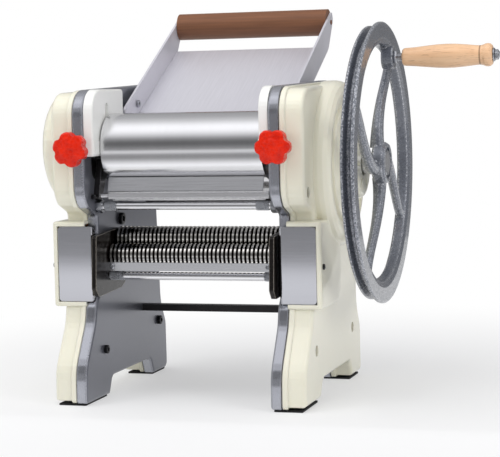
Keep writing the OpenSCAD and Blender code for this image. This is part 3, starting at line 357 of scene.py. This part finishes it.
# Painted highlight: the edges are painted light grey.
feed(shader, "Base Color", blend(edges(spot, 0.0014) * 0.8,
                                 blend(oil, tone(12, 9, 8), tone(27, 21, 18)),
                                 tone(176, 168, 158)))
feed(shader, "Roughness", oil * 0.2 + 0.2)
bump(shader, grain(spot, 500, 3), 0.00006, soft(spot, 0.001))
coat(lacquer, "left_cutter_plate", "right_cutter_plate")

# Bushes of the front roller, the drive shaft, the cutter rolls and the idler, pressed from bronze
# powder and sintered, so that they hold oil. They are pushed into frames, blocks and plates.

coat(mottled("bronze", (900, 4), tone(150, 118, 66), tone(182, 148, 92), smooth=0.35,
             rougher=0.2, relief=0.00005, Metallic=1.0),
     "front_roller_bushes", "drive_bushes", "cutter_bushes", "idler_bush")

# Gears inside the left cover, cut from steel and greased. One pair joins the smooth rollers, and
# a train of four drives the cutter rolls.

coat(mottled("gear_steel", (300, 4), tone(120, 122, 126), tone(156, 158, 162), smooth=0.3,
             rougher=0.2, relief=0.00003, Metallic=1.0),
     "roller_drive_gear", "front_roller_gear", "cutter_drive_gear", "idler_gear",
     "rear_cutter_gear", "front_cutter_gear")

# Cap screws hold the frames, the scraper bar and the front panels. They are cold headed from
# steel, with a hexagon socket, and burnt black in oil.

# y, z, head radius and socket radius of each screw on the inside of a frame.
FRAME_SCREWS = [(100, 184, 6.5, 3.4), (45, 51, 4.5, 2.3), (212, 60, 5.0, 2.6),
                (19.607, 212.323, 2.6, 1.3)]
FRAME_SHANK_R, FRAME_HEAD = 2, 4
PANEL_HEAD_R, PANEL_SOCKET_R, PANEL_SHANK_R = 3, 1.5, 1.5
PANEL_HEAD, PANEL_SHANK = 1.8, 5.8
SMOOTH_BELOW = math.radians(28)


def reach(node):
    """Lowest and highest corner of a CAD piece, in the machine's millimetres."""
    return np.array(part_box(node)) * 1000 - ORIGIN


def heart(node):
    """y and z of the middle of a CAD piece, in the machine's millimetres."""
    return reach(node).mean(0)[1:]


def polygon(angle, sides):
    """Distance to the edge of a regular polygon whose corners are 1 away: the cosine of half a
    side's angle over the cosine of the angle from the middle of the side."""
    part = 2 * np.pi / sides
    return np.cos(part / 2) / np.cos(angle % part - part / 2)


def cross(angle, arms):
    """Distance to the edge of a cross-shaped recess of radius 1: a core of 0.36, and arms that
    rise with the sixth power of a cosine."""
    return 0.36 + 0.64 * np.abs(np.cos(angle * arms / 2)) ** 6


def turned(profile, y, z, flip=1, start=0.0, shape=polygon, sides=6, turn=0.0, steps=48):
    """Surface turned about an axis along X at y and z. Each row of the profile is [radius, x
    from the start, draw] and makes one ring, which is a circle at draw 0 and has its radius
    multiplied by the shape's at draw 1. flip = -1 mirrors it to the left of the machine."""
    radius, x, draw = np.array(profile, float).T[:, :, None]
    angle = np.linspace(0, 2 * np.pi, steps, endpoint=False)[None, :]
    spoke = radius * (1 - draw + draw * shape(angle + turn, sides))
    return np.stack([flip * (start + x) + 0 * spoke, y + spoke * np.cos(angle),
                     z + spoke * np.sin(angle)], -1)


def piece(name, grids, material, body, slot, *stands_for):
    """Mesh of closed surfaces. Each is a grid of rings in the machine's millimetres, with a quad
    between neighbours on two rings and a fan from the middle of each end ring. The piece rides
    on a body and stands for CAD pieces."""
    corners, faces, start = [], [], 0
    for grid in grids:
        rows, columns = grid.shape[:2]
        ring = start + np.arange(rows * columns).reshape(rows, columns)
        after = np.roll(ring, -1, 1)
        first, last = start + rows * columns, start + rows * columns + 1
        start += rows * columns + 2
        corners += [grid.reshape(-1, 3), grid[:1].mean(1), grid[-1:].mean(1)]
        faces += np.stack([ring[:-1], after[:-1], after[1:], ring[1:]], -1).reshape(-1, 4).tolist()
        faces += [[first, b, a] for a, b in zip(ring[0].tolist(), after[0].tolist())]
        faces += [[last, a, b] for a, b in zip(ring[-1].tolist(), after[-1].tolist())]
    mesh = bpy.data.meshes.new(name)
    mesh.from_pydata(((np.concatenate(corners) + ORIGIN) / 1000).tolist(), [], faces)
    work = bmesh.new()
    work.from_mesh(mesh)
    bmesh.ops.recalc_face_normals(work, faces=work.faces)
    work.to_mesh(mesh)
    work.free()
    mesh.shade_smooth()
    mesh.set_sharp_from_angle(angle=SMOOTH_BELOW)
    mesh.materials.append(material)
    made = bpy.data.objects.new(name, mesh)
    bpy.context.scene.collection.objects.link(made)
    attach(made, body)
    if stands_for:
        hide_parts(*stands_for)


def cap_screw(y, z, seat, out, end, head, socket, shank, flip=1):
    """Turned screw: a shank from x = end to the seat, and a head from there to x = out with
    broken edges and a hexagon socket that goes in by 0.7 of its height."""
    s, high = math.copysign(1, out - seat), abs(out - seat)
    return turned([
        [shank, end, 0], [shank, seat, 0], [head - 0.3, seat, 0], [head, seat + 0.3 * s, 0],
        [head, out - 0.7 * s, 0], [head - 0.25, out - 0.25 * s, 0], [head - 0.8, out, 0],
        [socket + 0.4, out, 0.6], [socket, out - 0.4 * s, 1], [socket, out - 0.55 * high * s, 1],
        [socket * 0.4, out - 0.7 * high * s, 1]
    ], y, z, flip)


# The black finish's edges are painted light grey, partly wear and partly a painted highlight.
burnt, shader, spot = finish("screw_black", Metallic=0.85)
oil = grain(spot, 300, 3)
feed(shader, "Base Color", blend(edges(spot, 0.0004) * 0.6,
                                 blend(oil, tone(26, 26, 28), tone(48, 48, 51)),
                                 tone(168, 168, 172)))
feed(shader, "Roughness", oil * 0.2 + 0.24)
bump(shader, oil, 0.00002)

frame_face = reach("right_frame")[0, 0]
screw_tip = reach("frame_bolts")[1, 0]
piece("frame_screws", [cap_screw(y, z, frame_face, frame_face - FRAME_HEAD, screw_tip, head,
                                 socket, FRAME_SHANK_R, flip)
                       for flip in (1, -1) for y, z, head, socket in FRAME_SCREWS],
      burnt, "base", "dark_steel", "frame_bolts")

panel_out = reach("panel_screws")[1, 0]
panel_seat = panel_out - PANEL_HEAD
piece("panel_side_screws", [cap_screw(*heart("panel_screws"), panel_seat, panel_out,
                                      panel_seat - PANEL_SHANK, PANEL_HEAD_R, PANEL_SOCKET_R,
                                      PANEL_SHANK_R, flip)
                            for flip in (1, -1)], burnt, "base", "dark_steel", "panel_screws")

# Pan head screws at the bottom of the covers' counterbores hold them to the frames. They have a
# domed head with a cross recess and the same black finish.

COVER_SCREWS = [(39, 55), (197, 58), (17, 216)]  # y and z of each, on both sides
PAN_SCREW = [[2, -18, 0], [2, -4, 0], [3.8, -4, 0], [4, -3.6, 0], [4, -1.6, 0], [3.4, -0.4, 0],
             [2.5, 0, 0], [2.2, 0, 1], [2.0, -0.8, 1], [0.9, -2.2, 1]]
piece("cover_pan_screws", [turned(PAN_SCREW, y, z, flip, reach("cover_screws")[1, 0], cross, 4)
                           for flip in (1, -1) for y, z in COVER_SCREWS],
      burnt, "base", "dark_steel", "cover_screws")

# Hexagon nuts hold the upper tie rod between the frames. They are cut from bar, chamfered on both
# sides and zinc plated, as all the nuts and bushes outside are.

NUT_FLATS, NUT_HIGH, TIE_ROD_R = 13, 6.5, 4

zinc, shader, spot = finish("zinc_steel", Metallic=1.0)
cloudy = grain(spot, 140, 4)
feed(shader, "Base Color", blend(cloudy, tone(158, 160, 165), tone(196, 198, 203)))
feed(shader, "Roughness", cloudy * 0.16 + 0.2)
bump(shader, grain(spot, 900, 3), 0.00002, soft(spot, 0.0003))


def hex_nut(y, z, flats, bore, start, end, flip=1, turn=0.0):
    """Turned nut from x = start to end, drawn to a hexagon between two chamfers. Its first and
    last rings lie inside the bore, where the rod fills it."""
    corner, chamfer = flats / 2 / math.cos(math.pi / 6), 0.06 * flats
    inner = flats / 2 - 0.2
    return turned([
        [bore - 0.1, start + 0.4, 0], [bore, start, 0], [inner, start, 0],
        [corner, start + chamfer, 1], [corner, end - chamfer, 1],
        [inner, end, 0], [bore, end, 0], [bore - 0.1, end - 0.4, 0]
    ], y, z, flip, turn=turn)


piece("tie_nuts", [hex_nut(*heart("upper_tie_rod"), NUT_FLATS, TIE_ROD_R, frame_face - NUT_HIGH,
                           frame_face, flip, math.pi / 6) for flip in (1, -1)],
      zinc, "base", "bright_steel", "tie_rod_nuts")

# Knurled bushes on the upper tie rod and the lower front rod, turned from bar, rolled with a
# diamond knurl and zinc plated. They are pushed on beside the frames.

END_R, PLAIN_R, KNURL_R = 4, 4.65, 4.45
CHAMFER, PLAIN = 0.4, 1.1
CROSSINGS, KNURL_PITCH, KNURL_DEEP = 14, 1.6, 0.5


def knurled(y, z, start, end, flip=1):
    """Turned bush whose radius follows the product of two sine waves, which wind round it in
    opposite senses, between two plain chamfered ends."""
    x = np.linspace(start + PLAIN + 0.1, end - PLAIN - 0.1, 64)
    angle = np.linspace(0, 2 * np.pi, 12 * CROSSINGS, endpoint=False)
    wind = np.pi * (x[:, None] - start) / KNURL_PITCH
    relief = np.abs(np.sin(CROSSINGS * angle + wind) * np.sin(CROSSINGS * angle - wind))
    plain = np.array([END_R, PLAIN_R, PLAIN_R])[:, None] + 0 * angle
    spoke = np.concatenate([plain, KNURL_R + KNURL_DEEP * relief, plain[::-1]])
    along = np.concatenate([[start, start + CHAMFER, start + PLAIN], x,
                            [end - PLAIN, end - CHAMFER, end]])[:, None]
    return np.stack([flip * along + 0 * spoke, y + spoke * np.cos(angle),
                     z + spoke * np.sin(angle)], -1)


for name, rod, bushes, length in (("tie_bush_knurls", "upper_tie_rod", "tie_rod_bushes", 14),
                                  ("rod_bush_knurls", "lower_front_rod", "lower_rod_bushes", 16)):
    end = reach(bushes)[1, 0]
    piece(name, [knurled(*heart(rod), end - length, end, flip) for flip in (1, -1)],
          zinc, "base", "bright_steel", bushes)

# Button head bolts hold the front comb's flange near both ends, from the front. They are cold
# headed with a hexagon socket and zinc plated.

BOLT_IN, BOLT_Z = 8, 139
BUTTON_BOLT = [[1.3, 2.5, 0], [1.3, 0, 0], [2.8, 0, 0], [2.8, -0.6, 0], [2.5, -1.4, 0],
               [1.9, -1.9, 0], [1.3, -2.0, 0.5], [1.1, -1.9, 1], [1.0, -1.0, 1]]
comb_face, comb_end = reach("front_comb")[0, 1], reach("front_comb")[1, 0]
# Each is turned about an axis along X, and then its x and y change places.
piece("comb_bolts", [turned(BUTTON_BOLT, flip * (comb_end - BOLT_IN), BOLT_Z,
                            start=comb_face)[..., [1, 0, 2]] for flip in (-1, 1)],
      zinc, "base", "dark_steel")

# Star knobs, moulded onto the ends of the adjusting screws in glossy red plastic that is full of
# fine facets. They are kept out of the rollers' reflections.

red, shader, spot = finish("knob_plastic", Coat_Weight=0.2, Coat_Roughness=0.06,
                           Specular_IOR_Level=0.25)
swirl = grain(spot, 120, 4)
facet = spot.node("TexVoronoi", {"Vector": spot, "Scale": 300}, "Distance")
feed(shader, "Base Color", blend(swirl, tone(176, 6, 0), tone(255, 46, 0)))
feed(shader, "Roughness", facet * 0.3 + 0.12)
bump(shader, facet * 0.6 + swirl * 0.8, 0.0011, soft(spot, 0.001))
coat(red, "left_knob", "right_knob")
for name in ("left_knob", "right_knob"):
    frame["nodes"][name].visible_glossy = False

# Flywheel, an iron casting under grey hammer enamel, which dries into shallow cells and thins out
# along the edges. Light specks are painted along the edges, partly bare metal and partly painted
# glints.

hammer, shader, spot = finish("hammer_enamel", Metallic=0.4, Coat_Weight=0.6, Coat_Roughness=0.08)
cells = spot.node("TexVoronoi", {"Vector": spot, "Scale": 360}, "Distance", feature="SMOOTH_F1")
pits = grain(spot, 620, 4)
wear_and_glint = edges(spot, 0.003, 0.005, 0.06)
paint = blend(cells * 0.8 + pits * 0.3, tone(122, 126, 136), tone(92, 96, 106))
# Painted glints: light specks along the edges, partly bare metal.
feed(shader, "Base Color", blend(wear_and_glint * span(pits, 0.42, 0.6) * 0.9, paint, tone(232, 234, 240)))
feed(shader, "Roughness", cells * 0.25 + 0.2 - wear_and_glint * 0.08)
bump(shader, cells + pits * 0.5, 0.0004, soft(spot, 0.0018))
coat(hammer, "flywheel")

# Steel and zinc plate: the nut in the flywheel's hub, the crank bolt with its thread and lock nut
# in the rim, and the washer and nut that keep the grip on it.

HUB_FLATS, HUB_BORE_R, HUB_PLAY = 26, 10, 0.05
CRANK_R, CRANK_FLATS, THREAD_R, PITCH = 4, 13, 4.35, 1.25
LOCK_PLAY, LOCK_HIGH = 0.1, 3.3
END_FLATS, END_BORE_R, END_TURN, END_IN, END_OUT = 10, 3.6, 0.3, 2.0, 5.8
# Profiles from the outer end of the grip.
WASHER = [[4, 0.4, 0], [7, 0.4, 0], [7, 1.6, 0], [6.6, 1.9, 0], [4, 1.9, 0]]
BOLT_TIP = [[3.6, 2.0, 0], [3.4, 6.6, 0], [2.6, 7.4, 0]]


def threaded(y, z, start, end):
    """Rod whose radius falls from the thread's by up to 0.55 of its pitch and rises again, in a
    wave that winds once round it in each pitch, with eight rings to a pitch."""
    x = np.linspace(start, end, int((end - start) / PITCH * 8))[:, None]
    angle = np.linspace(0, 2 * np.pi, 40, endpoint=False)[None, :]
    wave = np.abs(((x / PITCH - angle / (2 * np.pi)) % 1) * 2 - 1)
    spoke = THREAD_R - 0.55 * PITCH * wave
    return np.stack([x + 0 * spoke, y + spoke * np.cos(angle), z + spoke * np.sin(angle)], -1)


hub_in, hub_out = reach("hub_nut")[:, 0]
piece("hub_lock_nut", [hex_nut(*pivot("flywheel_spin")[1:], HUB_FLATS, HUB_BORE_R,
                               hub_in + HUB_PLAY, hub_out)],
      zinc, "drive", "bright_steel", "hub_nut")

crank = pivot("grip_spin")[1:]
grip_in, grip_out = reach("wooden_grip")[:, 0]
lock_in = reach("flywheel")[1, 0] + LOCK_PLAY
lock_out = lock_in + LOCK_HIGH
piece("crank_pin", [
    turned([[CRANK_R, reach("crank_bolt")[0, 0], 0], [CRANK_R, grip_in - 1.9, 0],
            [CRANK_R - 0.02, grip_out + 2.6, 0]], *crank),
    threaded(*crank, lock_out + LOCK_PLAY, grip_in - 0.2),
    hex_nut(*crank, CRANK_FLATS, CRANK_R, lock_in, lock_out)
], zinc, "drive", "bright_steel", "crank_bolt")
piece("grip_end_nut", [
    turned(WASHER, *crank, start=grip_out),
    hex_nut(*crank, END_FLATS, END_BORE_R, grip_out + END_IN, grip_out + END_OUT, turn=END_TURN),
    turned(BOLT_TIP, *crank, start=grip_out)
], zinc, "drive", "bright_steel", "grip_nut")

# Wooden grip, turned from a pale hardwood, oiled and free to turn on the crank bolt. A wire held
# against it in the lathe has burnt a dark line before its bead.

LINE_IN = 12.8
wood, shader, spot = finish("grip_wood", Coat_Weight=0.4, Coat_Roughness=0.18)
fibre = grain(spot, 420, 4, 0.6, (0.05, 1, 1))
ripple = grain(spot, 90, 3, 0.5, (0.1, 1, 1))
fleck = span(grain(spot, 900, 2, 0.5, (0.04, 1, 1)), 0.56, 0.68)
colour = blend(fibre * 0.5 + ripple * 0.5, tone(216, 160, 114), tone(252, 218, 180))
colour = blend(fleck * 0.35, colour, tone(140, 92, 60))
from_line = spot.node("SeparateXYZ", {0: spot}, "X") - place(grip_out - LINE_IN, 0, 0).x
line = 1.0 - span(from_line.math("ABSOLUTE"), 0.0003, 0.0012)
feed(shader, "Base Color", blend(line * 0.7, colour, tone(96, 62, 38)))
feed(shader, "Roughness", fibre * 0.22 + 0.34)
bump(shader, fibre, 0.00005)
coat(wood, "wooden_grip")

# Wooden roller at the chute's upper end, turned and stained dark. Its pins turn freely in the
# ends of the side rails.

coat(mottled("rod_wood", (360, 4, 0.6, (0.04, 1, 1)), tone(84, 52, 34), tone(140, 92, 62),
             smooth=0.42, rougher=0.2, relief=0.00008), "chute_roller")

# Chute, folded from stainless sheet and brushed along its length. Its side rails turn on two
# shouldered screws in the frames, with a spacer between rail and frame.

coat(mottled("chute_sheet", (800, 3, 0.6, (1, 0.03, 0.03)), tone(204, 203, 211),
             tone(224, 223, 231), smooth=0.3, rougher=0.12, relief=0.00001, rounding=0.0006,
             Metallic=0.35),
     "left_chute_rail", "right_chute_rail", "chute_floor")

HINGE_HEAD_R, HINGE_SOCKET_R, HINGE_SHANK_R, SPACER_R = 4, 2, 2.5, 5
HINGE_HEAD, HINGE_PLAY = 2.6, 0.4
rail_in, rail_out = reach("right_chute_rail")[:, 0] + [-HINGE_PLAY, HINGE_PLAY]
hinge = pivot("chute_lift")[1:]
spacer = [[HINGE_SHANK_R, rail_out, 0], [SPACER_R, rail_out, 0], [SPACER_R, frame_face, 0],
          [HINGE_SHANK_R, frame_face, 0]]
piece("chute_hinge_screws", [grid for flip in (1, -1) for grid in (
    cap_screw(*hinge, rail_in, rail_in - HINGE_HEAD, screw_tip, HINGE_HEAD_R, HINGE_SOCKET_R,
              HINGE_SHANK_R, flip),
    turned(spacer, *hinge, flip)
)], zinc, "base", "bright_steel", "chute_pivots")

# The studio's table is white and matt. It runs out into pure white for the camera, and keeps the
# machine's soft shadow near its feet.

TABLE_HALF = 8
TABLE_WHITE = (0.86, 0.865, 0.88, 1)
FADE_FROM, FADE_TO, FADE_LEAST = 0.2, 0.75, 0.45


def plate(name, corners, material, faces=((0, 1, 2, 3),)):
    """Sheet of the studio, which isn't part of the machine, from its corners in metres."""
    mesh = bpy.data.meshes.new(name)
    mesh.from_pydata(corners, [], list(faces))
    mesh.materials.append(material)
    made = bpy.data.objects.new(name, mesh)
    bpy.context.scene.collection.objects.link(made)
    return made


def looked_at(start):
    """1 on rays from the camera, straight, mirrored or through glass, and 0 on rays of light."""
    direct, mirrored, through = (start.node("LightPath", out=f"Is {kind} Ray")
                                 for kind in ("Camera", "Glossy", "Transmission"))
    return (direct + mirrored + through).math("MINIMUM", 1.0)


table, shader, spot = finish("table_white", Roughness=0.6, Base_Color=TABLE_WHITE)
away = spot.node("VectorMath", {0: spot}, "Value", operation="LENGTH")
fade = away.node("MapRange", {"Value": away, "From Min": FADE_FROM, "From Max": FADE_TO,
                              "To Min": FADE_LEAST, "To Max": 1.0},
                 interpolation_type="SMOOTHSTEP")
glow = spot.node("Emission", {"Color": (1, 1, 1, 1), "Strength": 1.0})
mixed = spot.node("MixShader", {0: fade * looked_at(spot),
                                1: Wire(table.node_tree, shader.outputs[0]), 2: glow})
feed(table.node_tree.nodes["Material Output"], "Surface", mixed)
plate("table", [(-TABLE_HALF, -TABLE_HALF, 0), (TABLE_HALF, -TABLE_HALF, 0),
                (TABLE_HALF, TABLE_HALF, 0), (-TABLE_HALF, TABLE_HALF, 0)], table)

# The room is white to the camera and lights the machine with half of that. Three soft boxes,
# above, at the front left and at the front right, shade it. Polished metal doesn't mirror them.

world = bpy.data.worlds.new("studio")
world.use_nodes = True
bpy.context.scene.world = world
room = world.node_tree.nodes["Background"]
room.inputs["Color"].default_value = (1, 1, 1, 1)
feed(room, "Strength", looked_at(Wire(world.node_tree)) * 0.5 + 0.5)


def soft_box(name, spot, target, width, depth, power):
    """Rectangular lamp in metres and watts that faces its target."""
    light = bpy.data.lights.new(name, "AREA")
    light.shape, light.size, light.size_y, light.energy = "RECTANGLE", width, depth, power
    made = bpy.data.objects.new(name, light)
    made.location = spot
    made.rotation_euler = (Vector(target) - Vector(spot)).to_track_quat("-Z", "Y").to_euler()
    made.visible_glossy = False
    bpy.context.scene.collection.objects.link(made)


soft_box("top_box", (-0.3, -0.4, 1.7), (0, 0, 0.2), 1.4, 1.0, 14)
soft_box("front_box", (-1.5, -1.6, 1.0), (0, 0, 0.2), 0.9, 1.2, 8)
soft_box("side_box", (1.9, -1.2, 1.0), (0, 0, 0.25), 0.9, 1.2, 15)

# A curved card, which only shiny surfaces see, runs over the table in front of the machine and
# above it. Its glow gives the rollers their bands. It goes with the angle in degrees round the
# front roller's axis, from level in front at 0, over the top, to level behind at 180.

GLOWS = [
    (-66, 1.1), (-60, 1.15), (-52, 0.9), (-44, 0.58), (-37, 0.34), (-30, 0.29), (-23, 0.38),
    (-18, 0.8), (-11.6, 0.88), (-10.2, 0.34), (-7, 0.3), (-3, 0.27), (5, 0.17), (12, 0.13),
    (20, 0.18), (30, 0.38), (40, 0.75), (50, 1.05), (60, 1.25), (72, 1.25), (82, 1.05),
    (95, 0.75), (115, 0.5), (140, 0.4), (174, 0.24), (190, 0.28)
]
RAMP_FROM, RAMP_TO = -70, 200
# Degrees from and to, and rows of corners, where the card lies on the table and where it stands.
LYING, STANDING = (-66, -7, 24), (-3, 187.8, 50)
CARD_R, CARD_HALF, CARD_LIFT = 1.9, 4.0, 0.003

card = bpy.data.materials.new("card_glow")
card.use_nodes = True
card.node_tree.nodes.clear()
centre = place(*pivot("front_roller_spin"))
spot = Wire(card.node_tree).node("TexCoord", out="Object")
apart = spot.node("VectorMath", {0: spot, 1: tuple(centre)}, operation="SUBTRACT")
deep, high = (apart.node("SeparateXYZ", {0: apart}, axis) for axis in "YZ")
ramp = RAMP_TO - RAMP_FROM
rise = deep.math("ARCTAN2", high) * (180 / math.pi / ramp) + (90 - RAMP_FROM) / ramp
stops = [((angle - RAMP_FROM) / ramp, (v, v, v * 1.02, 1)) for angle, v in GLOWS]
glow = rise.node("ValToRGB", {0: rise}, "Color", stops=stops)
feed(card.node_tree.nodes.new("ShaderNodeOutputMaterial"), "Surface",
     glow.node("Emission", {"Color": glow, "Strength": 1.0}))

rises = np.radians(np.concatenate([np.linspace(*LYING), np.linspace(*STANDING)]))
radii = np.minimum(CARD_R, (centre.z - CARD_LIFT) / np.maximum(-np.sin(rises), 1e-3))
rows = np.stack([centre.y - radii * np.cos(rises), centre.z + radii * np.sin(rises)], -1)
backdrop = plate("backdrop", [(x, y, z) for y, z in rows.tolist() for x in (-CARD_HALF, CARD_HALF)],
                 card, [(k, k + 1, k + 3, k + 2) for k in range(0, 2 * len(rows) - 2, 2)])
for ray in ("camera", "diffuse", "shadow", "transmission", "volume_scatter"):
    setattr(backdrop, "visible_" + ray, False)

# Colours are shown as they are written.

bpy.context.scene.view_settings.view_transform = "Standard"
